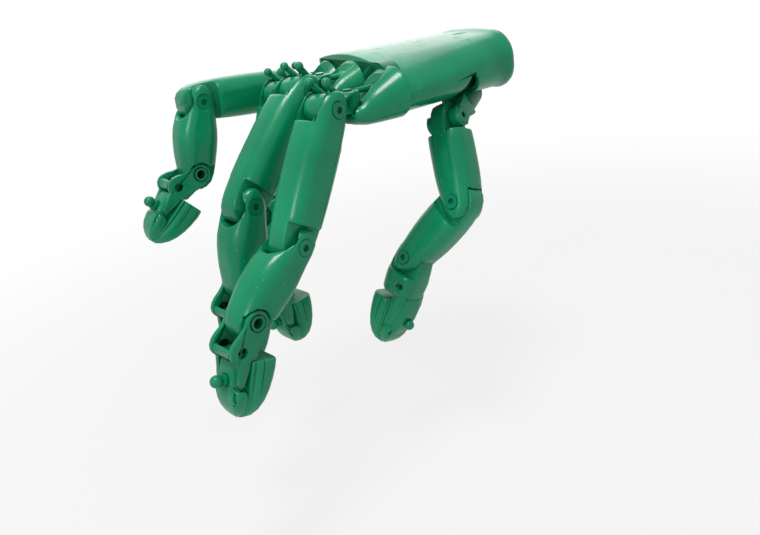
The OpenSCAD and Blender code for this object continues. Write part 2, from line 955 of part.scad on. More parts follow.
palm_shell();
palm_frame();
wrist_flange();
palm_screws();
swing_pins();
index_strut();
long_strut();
ring_strut();
little_strut();
index_knuckle();
long_knuckle();
ring_knuckle();
little_knuckle();
index_proximal();
long_proximal();
ring_proximal();
little_proximal();
index_knuckle_pin();
long_knuckle_pin();
ring_knuckle_pin();
little_knuckle_pin();
index_middle();
long_middle();
ring_middle();
little_middle();
index_middle_pin();
long_middle_pin();
ring_middle_pin();
little_middle_pin();
index_bracket();
long_bracket();
ring_bracket();
little_bracket();
index_core();
long_core();
ring_core();
little_core();
index_pad();
long_pad();
ring_pad();
little_pad();
index_bush();
long_bush();
ring_bush();
little_bush();
index_knob();
long_knob();
ring_knob();
little_knob();
thumb_socket();
thumb_base();
thumb_root_pin();
thumb_proximal();
thumb_mid_pin();
thumb_middle();
thumb_tip_pin();
thumb_barrel();
thumb_core();
thumb_pad();
thumb_knob();
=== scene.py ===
import json
import math

import bpy
from mathutils import Euler, Matrix, Vector
from mathutils.bvhtree import BVHTree


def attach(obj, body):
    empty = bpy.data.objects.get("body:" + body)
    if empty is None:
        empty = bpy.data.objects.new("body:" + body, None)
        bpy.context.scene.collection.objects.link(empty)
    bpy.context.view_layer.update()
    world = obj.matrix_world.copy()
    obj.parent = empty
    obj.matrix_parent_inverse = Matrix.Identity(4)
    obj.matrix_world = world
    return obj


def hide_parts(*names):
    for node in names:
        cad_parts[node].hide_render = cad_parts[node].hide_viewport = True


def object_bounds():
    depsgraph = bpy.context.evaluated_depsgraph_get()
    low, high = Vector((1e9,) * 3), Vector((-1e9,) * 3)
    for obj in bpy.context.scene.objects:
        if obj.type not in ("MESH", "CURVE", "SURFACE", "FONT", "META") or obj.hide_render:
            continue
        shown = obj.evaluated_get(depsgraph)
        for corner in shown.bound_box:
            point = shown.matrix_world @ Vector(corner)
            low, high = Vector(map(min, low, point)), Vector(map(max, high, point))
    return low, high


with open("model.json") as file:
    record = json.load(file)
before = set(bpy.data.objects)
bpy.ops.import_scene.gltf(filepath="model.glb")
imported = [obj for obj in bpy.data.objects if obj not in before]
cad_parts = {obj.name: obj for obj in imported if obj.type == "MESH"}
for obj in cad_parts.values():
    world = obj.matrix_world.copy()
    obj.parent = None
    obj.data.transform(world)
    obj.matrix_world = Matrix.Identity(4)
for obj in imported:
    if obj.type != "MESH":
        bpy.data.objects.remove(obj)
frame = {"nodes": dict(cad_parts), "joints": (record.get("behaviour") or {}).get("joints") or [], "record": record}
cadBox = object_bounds()
bpy.ops.object.select_all(action="DESELECT")

mm = 0.001

# ---------------------------------------------------------------- finishes
plastic = {
    "link_green": {"deep": (0.001, 0.17, 0.078), "lit": (0.002, 0.25, 0.108), "rough": 0.27, "coat": 0.12},
    "pad_green": {"deep": (0.0012, 0.18, 0.084), "lit": (0.003, 0.265, 0.118), "rough": 0.33, "coat": 0.1},
    "frame_green": {"deep": (0.001, 0.09, 0.044), "lit": (0.002, 0.17, 0.08), "rough": 0.38, "coat": 0.1},
    "pin_green": {"deep": (0.0015, 0.14, 0.068), "lit": (0.004, 0.23, 0.108), "rough": 0.25, "coat": 0.15},
}


def addNode(tree, kind, place, **values):
    node = tree.nodes.new(kind)
    node.location = place
    for name, value in values.items():
        setattr(node, name, value)
    return node


def mouldedGroup():
    # Colour drift, mould grain, rub marks and dust of handled glossy plastic.
    group = bpy.data.node_groups.new("mouldedPlastic", "ShaderNodeTree")
    for name, kind in (("Vector", "NodeSocketVector"), ("Deep", "NodeSocketColor"), ("Lit", "NodeSocketColor"),
                       ("Dust", "NodeSocketFloat"), ("Roughness", "NodeSocketFloat"), ("Rub", "NodeSocketFloat"),
                       ("Grain", "NodeSocketFloat")):
        group.interface.new_socket(name=name, in_out="INPUT", socket_type=kind)
    for name, kind in (("Colour", "NodeSocketColor"), ("Roughness", "NodeSocketFloat"), ("Height", "NodeSocketFloat")):
        group.interface.new_socket(name=name, in_out="OUTPUT", socket_type=kind)
    start = addNode(group, "NodeGroupInput", (-1000, 0))
    end = addNode(group, "NodeGroupOutput", (900, 0))
    link = group.links.new

    drift = addNode(group, "ShaderNodeTexNoise", (-700, 300))
    drift.inputs["Scale"].default_value = 38
    drift.inputs["Detail"].default_value = 3
    link(start.outputs["Vector"], drift.inputs["Vector"])
    driftRange = addNode(group, "ShaderNodeMapRange", (-500, 300))
    driftRange.inputs["From Min"].default_value = 0.3
    driftRange.inputs["From Max"].default_value = 0.7
    link(drift.outputs["Fac"], driftRange.inputs["Value"])
    tone = addNode(group, "ShaderNodeMix", (-250, 300), data_type="RGBA")
    link(driftRange.outputs["Result"], tone.inputs["Factor"])
    link(start.outputs["Deep"], tone.inputs["A"])
    link(start.outputs["Lit"], tone.inputs["B"])

    smear = addNode(group, "ShaderNodeTexNoise", (-700, 20))
    smear.inputs["Scale"].default_value = 95
    smear.inputs["Detail"].default_value = 6
    smear.inputs["Distortion"].default_value = 1.4
    link(start.outputs["Vector"], smear.inputs["Vector"])
    smearMask = addNode(group, "ShaderNodeMapRange", (-500, 20), interpolation_type="SMOOTHSTEP")
    smearMask.inputs["From Min"].default_value = 0.48
    smearMask.inputs["From Max"].default_value = 0.72
    link(smear.outputs["Fac"], smearMask.inputs["Value"])
    rubAmount = addNode(group, "ShaderNodeMath", (-250, 20), operation="MULTIPLY")
    link(smearMask.outputs["Result"], rubAmount.inputs[0])
    link(start.outputs["Rub"], rubAmount.inputs[1])
    roughSum = addNode(group, "ShaderNodeMath", (0, 20), operation="ADD", use_clamp=True)
    link(rubAmount.outputs[0], roughSum.inputs[0])
    link(start.outputs["Roughness"], roughSum.inputs[1])
    link(roughSum.outputs[0], end.inputs["Roughness"])

    speck = addNode(group, "ShaderNodeTexVoronoi", (-700, -260), feature="F1")
    speck.inputs["Scale"].default_value = 420
    link(start.outputs["Vector"], speck.inputs["Vector"])
    speckMask = addNode(group, "ShaderNodeMapRange", (-500, -260))
    speckMask.inputs["From Min"].default_value = 0.16
    speckMask.inputs["From Max"].default_value = 0.08
    link(speck.outputs["Distance"], speckMask.inputs["Value"])
    patch = addNode(group, "ShaderNodeTexNoise", (-700, -480))
    patch.inputs["Scale"].default_value = 60
    link(start.outputs["Vector"], patch.inputs["Vector"])
    patchMask = addNode(group, "ShaderNodeMapRange", (-500, -480))
    patchMask.inputs["From Min"].default_value = 0.52
    patchMask.inputs["From Max"].default_value = 0.7
    link(patch.outputs["Fac"], patchMask.inputs["Value"])
    dustMask = addNode(group, "ShaderNodeMath", (-250, -320), operation="MULTIPLY")
    link(speckMask.outputs["Result"], dustMask.inputs[0])
    link(patchMask.outputs["Result"], dustMask.inputs[1])
    dustAmount = addNode(group, "ShaderNodeMath", (0, -320), operation="MULTIPLY")
    link(dustMask.outputs[0], dustAmount.inputs[0])
    link(start.outputs["Dust"], dustAmount.inputs[1])
    dusted = addNode(group, "ShaderNodeMix", (300, 200), data_type="RGBA")
    dusted.inputs["B"].default_value = (0.42, 0.5, 0.45, 1)
    link(dustAmount.outputs[0], dusted.inputs["Factor"])
    link(tone.outputs["Result"], dusted.inputs["A"])
    link(dusted.outputs["Result"], end.inputs["Colour"])

    grain = addNode(group, "ShaderNodeTexNoise", (-700, -720))
    grain.inputs["Scale"].default_value = 1500
    grain.inputs["Detail"].default_value = 2
    link(start.outputs["Vector"], grain.inputs["Vector"])
    grainHeight = addNode(group, "ShaderNodeMath", (-250, -720), operation="MULTIPLY")
    link(grain.outputs["Fac"], grainHeight.inputs[0])
    link(start.outputs["Grain"], grainHeight.inputs[1])
    wave = addNode(group, "ShaderNodeTexNoise", (-700, -960))
    wave.inputs["Scale"].default_value = 130
    wave.inputs["Detail"].default_value = 1
    link(start.outputs["Vector"], wave.inputs["Vector"])
    heightSum = addNode(group, "ShaderNodeMath", (0, -800), operation="ADD")
    link(grainHeight.outputs[0], heightSum.inputs[0])
    link(wave.outputs["Fac"], heightSum.inputs[1])
    link(heightSum.outputs[0], end.inputs["Height"])
    return group


def plasticMaterial(name, look, group):
    material = bpy.data.materials.new(name)
    material.use_nodes = True
    tree = material.node_tree
    tree.nodes.clear()
    link = tree.links.new
    coords = addNode(tree, "ShaderNodeTexCoord", (-700, 0))
    place = addNode(tree, "ShaderNodeMapping", (-500, 0))
    place.inputs["Location"].default_value = look.get("shift", (0, 0, 0))
    marks = addNode(tree, "ShaderNodeGroup", (-250, 0), node_tree=group)
    bump = addNode(tree, "ShaderNodeBump", (0, -250))
    shader = addNode(tree, "ShaderNodeBsdfPrincipled", (250, 0))
    out = addNode(tree, "ShaderNodeOutputMaterial", (600, 0))
    link(coords.outputs["Object"], place.inputs["Vector"])
    link(place.outputs["Vector"], marks.inputs["Vector"])
    marks.inputs["Deep"].default_value = (*look["deep"], 1)
    marks.inputs["Lit"].default_value = (*look["lit"], 1)
    marks.inputs["Dust"].default_value = look.get("dust", 0.25)
    marks.inputs["Roughness"].default_value = look["rough"]
    marks.inputs["Rub"].default_value = look.get("rub", 0.12)
    marks.inputs["Grain"].default_value = look.get("grain", 0.03)
    bump.inputs["Strength"].default_value = look.get("bump", 0.07)
    bump.inputs["Distance"].default_value = 0.00025
    shader.inputs["IOR"].default_value = 1.5
    shader.inputs["Specular IOR Level"].default_value = look.get("specular", 0.26)
    shader.inputs["Coat Weight"].default_value = look["coat"]
    shader.inputs["Coat Roughness"].default_value = look.get("coatRough", 0.1)
    link(marks.outputs["Colour"], shader.inputs["Base Color"])
    link(marks.outputs["Roughness"], shader.inputs["Roughness"])
    link(marks.outputs["Height"], bump.inputs["Height"])
    link(bump.outputs["Normal"], shader.inputs["Normal"])
    link(shader.outputs["BSDF"], out.inputs["Surface"])
    return material


plasticMarks = mouldedGroup()
finish = {name: plasticMaterial(name, look, plasticMarks) for name, look in plastic.items()}
nodeSlot = {part["node"]: part["material_slot"] for part in frame["record"]["subparts"]}
for name, node in frame["nodes"].items():
    node.data.materials.clear()
    node.data.materials.append(finish["frame_green" if name in ("thumb_socket", "palm_frame", "wrist_flange") else nodeSlot[name]])
print("finishes made:", len(finish))

# ---------------------------------------------------------------- modelling helpers, all in millimetres
def onlyThis(piece):
    bpy.ops.object.select_all(action="DESELECT")
    piece.select_set(True)
    bpy.context.view_layer.objects.active = piece


def loftedBody(section, stations):
    # A rounded rectangle drawn across X, then pulled along X and resized at each station.
    bpy.ops.object.select_all(action="DESELECT")
    bpy.ops.mesh.primitive_plane_add(size=2, location=(0, 0, 0), rotation=(0, math.pi / 2, 0))
    body = bpy.context.object
    bpy.ops.object.transform_apply(location=False, rotation=True, scale=False)
    bpy.ops.object.mode_set(mode="EDIT")
    bpy.ops.mesh.select_all(action="SELECT")
    stations = [station if len(station) == 5 else (*station, 0) for station in stations]
    startX, startY, startZ, startLift, startSide = stations[0]
    bpy.ops.transform.resize(value=(1, section["halfY"], section["halfZ"]))
    bpy.ops.mesh.bevel(affect="VERTICES", offset=section["corner"], segments=section.get("segments", 9), clamp_overlap=False)
    if section.get("cuts"):
        bpy.ops.object.mode_set(mode="OBJECT")
        for edge in body.data.edges:
            ends = [body.data.vertices[v].co for v in edge.vertices]
            edge.select = (ends[0] - ends[1]).length > section["halfZ"] * 0.35
        bpy.ops.object.mode_set(mode="EDIT")
        bpy.ops.mesh.subdivide(number_cuts=section["cuts"])
        bpy.ops.mesh.select_all(action="SELECT")
    bpy.ops.transform.resize(value=(1, startY, startZ), center_override=(0, 0, 0))
    bpy.ops.transform.translate(value=(startX, startSide, startLift))
    before = stations[0]
    for station in stations[1:]:
        x, wide, tall, lift, aside = station
        bpy.ops.mesh.extrude_region_move(TRANSFORM_OT_translate={"value": (x - before[0], aside - before[4], lift - before[3])})
        bpy.ops.transform.resize(value=(1, wide / before[1], tall / before[2]), center_override=(x, aside, lift))
        before = station
    bpy.ops.mesh.select_all(action="SELECT")
    bpy.ops.mesh.normals_make_consistent(inside=False)
    bpy.ops.object.mode_set(mode="OBJECT")
    return body


def boxTool(low, high, turn=(0, 0, 0), at=None):
    # A box between two corners, turned about at.
    bpy.ops.object.select_all(action="DESELECT")
    centre = [(a + b) / 2 for a, b in zip(low, high)]
    bpy.ops.mesh.primitive_cube_add(size=1, location=centre, scale=[b - a for a, b in zip(low, high)])
    tool = bpy.context.object
    bpy.ops.object.transform_apply(location=True, rotation=True, scale=True)
    if any(turn):
        pivot = Matrix.Translation(at or (0, 0, 0))
        tool.matrix_world = pivot @ Euler([math.radians(t) for t in turn]).to_matrix().to_4x4() @ pivot.inverted()
        bpy.ops.object.transform_apply(location=True, rotation=True, scale=True)
    return tool


def rodTool(radius, depth, at, along="Y", sides=48, topRadius=None):
    bpy.ops.object.select_all(action="DESELECT")
    turn = {"X": (0, math.pi / 2, 0), "Y": (math.pi / 2, 0, 0), "Z": (0, 0, 0)}[along]
    bpy.ops.mesh.primitive_cone_add(vertices=sides, radius1=radius, radius2=radius if topRadius is None else topRadius,
                                    depth=depth, location=at, rotation=turn)
    tool = bpy.context.object
    bpy.ops.object.transform_apply(location=True, rotation=True, scale=True)
    return tool


def ballTool(at, size):
    bpy.ops.object.select_all(action="DESELECT")
    bpy.ops.mesh.primitive_uv_sphere_add(segments=48, ring_count=24, radius=1, location=at)
    ball = bpy.context.object
    bpy.ops.object.mode_set(mode="EDIT")
    bpy.ops.transform.resize(value=size, center_override=at)
    bpy.ops.object.mode_set(mode="OBJECT")
    return ball


def outlineTool(points, low, high, across="Y"):
    # A flat outline of x and z (or x and y) made into a block between low and high.
    bpy.ops.object.select_all(action="DESELECT")
    bpy.ops.mesh.primitive_circle_add(vertices=len(points), radius=1, fill_type="NGON")
    tool = bpy.context.object
    for corner, (x, other) in zip(tool.data.vertices, points):
        corner.co = (x, low, other) if across == "Y" else (x, other, low)
    bpy.ops.object.mode_set(mode="EDIT")
    bpy.ops.mesh.select_all(action="SELECT")
    step = (0, high - low, 0) if across == "Y" else (0, 0, high - low)
    bpy.ops.mesh.extrude_region_move(TRANSFORM_OT_translate={"value": step})
    bpy.ops.mesh.select_all(action="SELECT")
    bpy.ops.mesh.normals_make_consistent(inside=False)
    bpy.ops.object.mode_set(mode="OBJECT")
    return tool


def combine(piece, tool, operation="DIFFERENCE"):
    onlyThis(piece)
    bpy.ops.object.modifier_add(type="BOOLEAN")
    shape = piece.modifiers[-1]
    shape.operation = operation
    shape.solver = "EXACT"
    shape.object = tool
    bpy.ops.object.modifier_apply(modifier=shape.name)
    onlyThis(tool)
    bpy.ops.object.delete()
    onlyThis(piece)
    return piece


def softEdges(piece, width, angle=38, segments=2, clamp=False):
    # Small doubles go first, so that no edge is too short to round.
    onlyThis(piece)
    bpy.ops.object.mode_set(mode="EDIT")
    bpy.ops.mesh.select_all(action="SELECT")
    bpy.ops.mesh.remove_doubles(threshold=0.03)
    bpy.ops.mesh.normals_make_consistent(inside=False)
    bpy.ops.object.mode_set(mode="OBJECT")
    if width:
        before = BVHTree.FromPolygons([corner.co.copy() for corner in piece.data.vertices], [list(face.vertices) for face in piece.data.polygons])
        bpy.ops.object.modifier_add(type="BEVEL")
        edge = piece.modifiers[-1]
        edge.width = width
        edge.segments = segments
        edge.limit_method = "ANGLE"
        edge.angle_limit = math.radians(angle)
        edge.use_clamp_overlap = clamp
        edge.miter_outer = "MITER_ARC"
        bpy.ops.object.modifier_apply(modifier=edge.name)
        for corner in piece.data.vertices:  # a corner that the rounding threw off the form goes back to it
            nearest, normal, index, apart = before.find_nearest(corner.co)
            if apart > 0.7 * width:
                corner.co = nearest
    bpy.ops.object.shade_smooth_by_angle(angle=math.radians(40))
    return piece


def placed(master, name, where, body, nodes, material):
    # A copy of a finished form, put in its place on the hand.
    onlyThis(master)
    bpy.ops.object.duplicate(linked=False)
    piece = bpy.context.object
    piece.name = name
    piece.matrix_world = where @ Matrix.Scale(mm, 4)
    bpy.ops.object.transform_apply(location=True, rotation=True, scale=True)
    piece.data.materials.clear()
    piece.data.materials.append(finish[material])
    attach(piece, body)
    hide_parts(*nodes)
    return piece


def discard(piece):
    onlyThis(piece)
    bpy.ops.object.delete()


# ---------------------------------------------------------------- where the links are
joints = {joint["name"]: joint for joint in frame["joints"]}


def linkPlace(joint, nextJoint):
    # Local X runs from the next joint back to this one, Y along the pin.
    here = Vector(joints[joint]["pos_m"])
    there = Vector(joints[nextJoint]["pos_m"])
    x = (here - there).normalized()
    y = -Vector(joints[joint]["axis"]).normalized()
    z = x.cross(y).normalized()
    return Matrix.Translation(here) @ Matrix((x, y, z)).transposed().to_4x4()


fingerTurn = {"index": 32, "long": 0, "ring": 11, "little": -33}
places = {}
for finger, tipTurn in fingerTurn.items():
    places[finger + "_proximal"] = linkPlace(finger + "_knuckle_flex", finger + "_middle_flex")
    places[finger + "_middle"] = linkPlace(finger + "_middle_flex", finger + "_tip_flex")
    tipAt = Matrix.Translation(joints[finger + "_tip_flex"]["pos_m"])
    middleTurn = places[finger + "_middle"].to_3x3().to_4x4()
    places[finger + "_tip"] = tipAt @ middleTurn @ Matrix.Rotation(-math.radians(tipTurn), 4, "Y")
print("link places:", len(places))

# ---------------------------------------------------------------- proximal links
proximal = {
    "section": {"halfY": 7.5, "halfZ": 7.85, "corner": 5.9},
    "stations": [(5.9, 0.8, 0.18, 0), (5.4, 0.86, 0.36, 0), (4.4, 0.91, 0.54, 0), (2.6, 0.95, 0.7, 0), (0, 0.97, 0.79, 0),
                 (-3.5, 0.985, 0.88, 0), (-7, 1, 0.94, 0), (-11, 1.01, 0.98, 0), (-17, 1.015, 1, 0), (-24, 1.015, 1, 0),
                 (-30, 1.01, 0.985, 0), (-35, 1, 0.955, 0), (-39, 0.985, 0.92, 0), (-42.5, 0.96, 0.875, 0),
                 (-45.5, 0.93, 0.81, 0), (-47.8, 0.9, 0.7, 0), (-49.6, 0.86, 0.5, 0), (-50.6, 0.82, 0.26, 0)],
    "length": 44, "tongue": 4.4, "cheek": 6.6, "knuckleRoom": 5.5, "neck": 4.5, "flat": 7.5, "edge": 0.45,
}


def buildProximal(form):
    body = loftedBody(form["section"], form["stations"])
    combine(body, boxTool((-60, -form["flat"], -9), (10, form["flat"], 9)), "INTERSECT")
    slot = rodTool(form["knuckleRoom"], 2 * form["tongue"], (0, 0, 0))
    combine(body, slot)
    combine(body, outlineTool([(-2, 0), (-5.6, 4.4), (-5.6, 12), (9, 12), (9, -12), (-form["neck"], -12), (-form["neck"], 0)],
                              -form["tongue"], form["tongue"]))
    combine(body, outlineTool([(-2.7, -5.4), (-9.6, -5.4), (-14, -9), (-2.7, -9)], -9, 9))
    for side in (-1, 1):
        low, high = sorted((side * form["tongue"] * 0.93, side * 9))
        combine(body, boxTool((-60, low, -9), (form["cheek"] - form["length"], high, 9)))
    combine(body, rodTool(2.62, 20, (0, 0, 0), sides=40))
    return softEdges(body, form["edge"])


proximalForm = buildProximal(proximal)
for finger in fingerTurn:
    placed(proximalForm, finger + "ProximalShell", places[finger + "_proximal"], finger + "_proximal", [finger + "_proximal"], "link_green")
discard(proximalForm)
print("proximal links dressed")

# ---------------------------------------------------------------- middle links
middleLink = {
    "section": {"halfY": 7.5, "halfZ": 7.8, "corner": 5.6},
    "stations": [(6.05, 0.84, 0.1, 0), (5.7, 0.88, 0.28, 0), (4.8, 0.93, 0.48, 0), (3, 0.965, 0.68, 0), (0, 0.985, 0.785, 0),
                 (-4, 1, 0.82, 0), (-7.5, 1.01, 0.9, 0.1), (-10.5, 1.015, 0.97, 0.15), (-14, 1.01, 0.99, 0.1), (-18, 0.99, 0.96, 0),
                 (-21, 0.96, 0.92, -0.1), (-24, 0.93, 0.86, -0.3), (-27, 0.9, 0.79, -0.45), (-30, 0.84, 0.65, -0.5),
                 (-32, 0.76, 0.42, -0.4), (-32.9, 0.62, 0.18, -0.3)],
    "length": 27, "tongue": 4.4, "domeRoom": 7.3, "flat": 7.5, "bossRoom": 4.4, "edge": 0.4,
}


def buildMiddle(form):
    body = loftedBody(form["section"], form["stations"])
    combine(body, boxTool((-60, -form["flat"], -9), (10, form["flat"], 9)), "INTERSECT")
    combine(body, rodTool(form["domeRoom"], 2 * form["tongue"], (0, 0, 0), sides=64))
    combine(body, outlineTool([(-3.4, 0), (-5.2, 5), (-4.6, 12), (9, 12), (9, -12), (-8.5, -12), (-7.3, 0)],
                              -form["tongue"], form["tongue"]))
    # the notch for the round end of the proximal link spreads toward the back
    combine(body, rodTool(6.2, 16, (-0.6, 0, 7.4), along="Z", sides=56, topRadius=7.4))
    for side in (-1, 1):
        # cheeks stand a little under the body, and the body ends in a curve over the boss
        low, high = sorted((side * form["tongue"] * 0.93, side * 9))
        combine(body, rodTool(form["bossRoom"], high - low, (-form["length"], (low + high) / 2, 0), sides=48))
        combine(body, outlineTool([(-60, -9), (-21.5, -9), (-23.6, -4.4), (-24.4, -2), (-24.2, 2.6), (-27.5, 4.6), (-31, 9), (-60, 9)],
                                  low, high))
    combine(body, rodTool(2.62, 20, (0, 0, 0), sides=40))
    combine(body, rodTool(2.45, 20, (-form["length"], 0, 0), sides=40))
    return softEdges(body, form["edge"])


middleForm = buildMiddle(middleLink)
for finger in fingerTurn:
    placed(middleForm, finger + "MiddleShell", places[finger + "_middle"], finger + "_middle", [finger + "_middle"], "link_green")
discard(middleForm)
print("middle links dressed")

# ---------------------------------------------------------------- finger tips
tip = {
    "section": {"halfY": 7.15, "halfZ": 4.85, "corner": 3.3},
    "pad": [(-11.7, 0.97, 0.93, -4.15), (-12.1, 1, 0.98, -4.2), (-14.5, 1.01, 0.98, -4.2), (-18, 1, 0.93, -3.95), (-21.5, 0.97, 0.85, -3.55),
            (-25, 0.89, 0.72, -2.95), (-27.8, 0.76, 0.55, -2.15), (-29.8, 0.55, 0.35, -1.35), (-30.9, 0.28, 0.15, -0.85)],
    "seamAt": -3.1, "seamEnd": -22.6, "seam": 0.3, "top": 0.55, "edge": 0.3,
}


def buildPad(form):
    body = loftedBody(form["section"], form["pad"])
    combine(body, boxTool((-60, -9, form["top"]), (0, 9, 9)))
    softEdges(body, form["edge"], angle=60)
    # the seam between the soft front and its carrier, a fine groove round both sides
    for side in (-1, 1):
        low, high = sorted((side * 6.72, side * 9))
        combine(body, boxTool((form["seamEnd"], low, form["seamAt"] - form["seam"] / 2), (0, high, form["seamAt"] + form["seam"] / 2)))
    return softEdges(body, 0)


padForm = buildPad(tip)
for finger in fingerTurn:
    placed(padForm, finger + "TipPad", places[finger + "_tip"], finger + "_tip", [finger + "_pad"], "pad_green")

nail = {
    "section": {"halfY": 6.7, "halfZ": 3.4, "corner": 2.6},
    "plate": [(-11.7, 1, 0.24, 0.15), (-16, 1, 0.24, 0.15), (-21, 0.97, 0.24, 0.15), (-25, 0.88, 0.24, 0.15), (-28, 0.72, 0.23, 0.15),
              (-30.2, 0.46, 0.2, 0.1), (-30.9, 0.25, 0.15, 0)],
    "hood": [(-20.9, 0.92, 0.5, 3.5), (-21.6, 0.97, 0.72, 3.1), (-23.5, 0.95, 0.8, 2.7), (-25.6, 0.87, 0.78, 2.3), (-27.6, 0.74, 0.68, 1.8),
             (-29.3, 0.54, 0.5, 1.2), (-30.5, 0.28, 0.28, 0.7)],
    "block": [(-11.9, 0.62, 0.62, 2.9), (-12.6, 0.64, 0.8, 3), (-16, 0.64, 0.84, 3.1), (-19.5, 0.62, 0.8, 3), (-21.4, 0.6, 0.72, 2.6)],
    "edge": 0.35, "knobAt": -18.6,
}


def buildNail(form):
    # A thin carrier plate, a block between the rails and a rounded hood over the end of the finger.
    body = loftedBody(form["section"], form["plate"])
    combine(body, loftedBody(form["section"], form["hood"]), "UNION")
    combine(body, loftedBody(form["section"], form["block"]), "UNION")
    combine(body, rodTool(2.1, 1.6, (form["knobAt"], 0, 5.9), along="Z", sides=32))
    for side in (-1, 1):
        combine(body, boxTool((-24.4, side * 4.9 - 0.35, 2.6), (-20, side * 4.9 + 0.35, 9)))
    return softEdges(body, form["edge"], segments=3)


nailForm = buildNail(nail)
for finger in fingerTurn:
    placed(nailForm, finger + "TipCore", places[finger + "_tip"], finger + "_tip", [finger + "_core"], "link_green")
print("finger tips dressed")

# ---------------------------------------------------------------- palm and struts
palm = {
    "section": {"halfY": 22, "halfZ": 10.5, "corner": 9.2, "segments": 22, "cuts": 11},
    "end": -59, "wall": 2, "crownWrist": 1.2, "crown": 6.2, "wristHalf": 25, "thumbEdge": 41, "littleEdge": 47, "littleBack": -46, "littleSplit": 25.5,
    "notch": [(-17.6, -13), (-18.8, -8), (-20.6, -3.6), (-22, -1.6), (-23.2, -1.8), (-25, -3.8), (-27.6, -6.3), (-31, -8.6), (-37, -10.8),
              (-37, -13)],
    "lip": {0: -0.3, 0.012: 0.5, 0.04: 0.7, 0.062: 0.45},
    "dish": {"at": (-10.5, -5, 13.8), "size": (7, 5, 3.9)}, "edge": 0.5,
}


def palmStations(form, inset):
    stations = []
    for share in (0, 0.012, 0.04, 0.062, 0.085, 0.15, 0.25, 0.4, 0.55, 0.7, 0.85, 1):
        lip = form["lip"].get(share, 0)
        thumbSide = form["wristHalf"] + share * (form["thumbEdge"] - form["wristHalf"]) - inset
        littleSide = form["wristHalf"] + share * (form["littleEdge"] - form["wristHalf"]) - inset
        thumbSide, littleSide = thumbSide + lip, littleSide + lip
        x = share * form["end"] + (1 if inset and share == 0 else 0) + (form["wall"] if inset and share == 1 else 0)
        stations.append((x, (thumbSide + littleSide) / 2 / 22, (10.5 + lip - inset) / 10.5, 0, (littleSide - thumbSide) / 2))
    return stations


def crownBack(body, form):
    # The back falls away toward both long edges, more so toward the fingers.
    for corner in body.data.vertices:
        share = min(max(corner.co.x / form["end"], 0), 1)
        thumbSide = form["wristHalf"] + share * (form["thumbEdge"] - form["wristHalf"])
        littleSide = form["wristHalf"] + share * (form["littleEdge"] - form["wristHalf"])
        out = corner.co.y / (littleSide if corner.co.y > 0 else thumbSide)
        height = (corner.co.z + 10.5) / 21
        corner.co.z -= (form["crownWrist"] + form["crown"] * share) * out * out * height


def buildPalm(form):
    body = loftedBody(form["section"], palmStations(form, 0))
    crownBack(body, form)
    combine(body, boxTool((-80, form["littleSplit"], -12), (form["littleBack"], 60, 12)))
    hollow = loftedBody(form["section"], palmStations(form, form["wall"]))
    crownBack(hollow, form)
    combine(hollow, boxTool((-80, form["littleSplit"] - form["wall"], -12), (form["littleBack"] + form["wall"], 60, 12)))
    combine(body, hollow)
    combine(body, outlineTool(form["notch"], -60, -8))
    combine(body, ballTool(**form["dish"]))
    return softEdges(body, form["edge"], segments=3)


palmForm = buildPalm(palm)
placed(palmForm, "palmShell", Matrix.Identity(4), "palm", ["palm_shell"], "link_green")
discard(palmForm)
print("palm dressed")

strut = {
    "section": {"halfY": 10, "halfZ": 10, "corner": 8.6},
    "lean": {"index": 12, "long": 8, "ring": 8, "little": -12}, "palmEnd": {"index": -59, "long": -59, "ring": -59, "little": -46},
    "base": {"index": (0.97, 0.83), "long": (0.95, 0.9), "ring": (0.9, 0.85), "little": (0.8, 0.7)},
    "sag": {"index": 1.9, "long": 0.6, "ring": 1, "little": 2.4}, "aside": {"index": -3.2, "long": -0.6, "ring": 0, "little": 0},
    "nose": [(-2.6, 0.5, 0.1), (-2.3, 0.58, 0.2), (-1.6, 0.64, 0.28), (-0.4, 0.68, 0.33), (1.2, 0.71, 0.37)],
    "noseDrop": 4, "bore": 1.5, "edge": 0.4,
    "pocket": [(5.4, -4.2), (0, -4.6), (-8, -7.4), (-8, 5.4), (0, 4.6), (5.4, 4.6)],
    "ramp": [(-8, -1.2), (5, -1.2), (11, 3.2), (13.5, 12), (-8, 12)], "rampHalf": (-4.6, 4.9),
}


def buildStrut(form, finger):
    # Round tapered arm, scooped out on the back, with a nose that flanks the knuckle.
    swing = Vector(joints[finger + "_swing"]["pos_m"]) / mm
    lean = math.radians(form["lean"][finger])
    root = (form["palmEnd"][finger] - swing.x) / math.cos(lean)
    wide, tall = form["base"][finger]
    sag, aside = form["sag"][finger], form["aside"][finger]
    stations = [(x, scaleY, scaleZ, -form["noseDrop"]) for x, scaleY, scaleZ in form["nose"]]
    for share in (0.25, 0.45, 0.65, 0.85, 1, 1.1):
        lift = -form["noseDrop"] * (1 - share) - share * (swing.z + sag)
        stations.append((share * root, 0.7 + share * (wide - 0.7), 0.37 + (tall - 0.37) * share ** 0.8, lift, aside * share))
    body = loftedBody(form["section"], stations)
    combine(body, outlineTool(form["pocket"], -3.4, 14, across="Z"))
    low, high = form["rampHalf"]
    combine(body, outlineTool(form["ramp"], low, high))
    top = 10 * (0.4 + (tall - 0.4) * 0.65) - 0.6 * (swing.z + sag) - 0.9
    combine(body, rodTool(0.95, 9, (root * 0.62, 1.6, top - 3.2), along="X", sides=24), "UNION")
    combine(body, rodTool(form["bore"], 30, (0, 0, 0), along="Z", sides=32))
    softEdges(body, form["edge"])
    place = Matrix.Translation(swing * mm) @ Matrix.Rotation(lean, 4, "Z")
    placed(body, finger + "StrutArm", place, "palm", [finger + "_strut"], "link_green")
    discard(body)


for finger in fingerTurn:
    buildStrut(strut, finger)
print("struts dressed")

